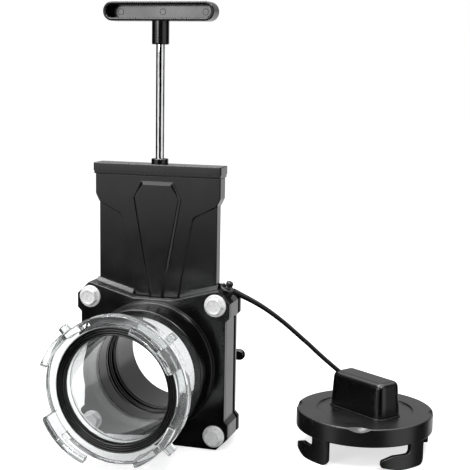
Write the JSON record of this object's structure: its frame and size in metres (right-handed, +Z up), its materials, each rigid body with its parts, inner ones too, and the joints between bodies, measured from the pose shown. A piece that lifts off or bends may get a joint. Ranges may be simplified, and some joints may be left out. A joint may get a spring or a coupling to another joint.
{
  "type": "rv waste valve",
  "caption": "Slide gate valve for a waste pipe, standing open, with a clear bayonet coupler, a bayonet hub behind and a tethered bayonet cap on the floor.",
  "frame": {"origin": "on the floor, below the bore, in the mid-plane of the gate", "axes": "-Y along the bore towards the bayonet coupler, +Z up along the gate rod, X across the valve towards the tethered cap"},
  "size_m": [0.262, 0.1752, 0.3239],
  "materials": {
    "black_abs": "satin moulded",
    "tether_plastic": "satin moulded",
    "black_rubber": "matt",
    "clear_plastic": "clear moulded polycarbonate",
    "zinc_steel": "bright zinc plate",
    "stainless_steel": "rolled",
    "chrome_rod": "polished"
  },
  "bodies": {
    "valve": {"front_plate": "black_abs", "front_collar": "black_abs", "centre_block": "black_abs", "gate_housing": "black_abs", "joint_gasket": "black_rubber", "rear_plate": "black_abs", "rear_hub": "black_abs", "hub_lugs": "black_abs", "front_seal": "black_rubber", "rear_seal": "black_rubber", "top_cap": "black_abs", "rod_gland": "black_abs", "clear_tube": "clear_plastic", "coupler_ring": "clear_plastic", "coupler_gasket": "black_rubber", "upper_left_bolt": "zinc_steel", "upper_right_bolt": "zinc_steel", "lower_left_bolt": "zinc_steel", "lower_right_bolt": "zinc_steel", "upper_left_nut": "zinc_steel", "upper_right_nut": "zinc_steel", "lower_left_nut": "zinc_steel", "lower_right_nut": "zinc_steel", "tether_anchor": "tether_plastic", "tether_button": "tether_plastic", "tether_strap": "tether_plastic", "bayonet_cap": "black_abs", "cap_grip": "black_abs", "cap_gasket": "black_rubber"},
    "gate": {"gate_blade": "stainless_steel", "rod_clamp": "stainless_steel", "gate_rod": "chrome_rod", "handle_bar": "black_abs"}
  },
  "joints": [
    {"name": "gate_slide", "type": "slide", "parent": "valve", "child": "gate", "axis": [0, 0, 1], "range_m": [-0.079, 0]}
  ]
}
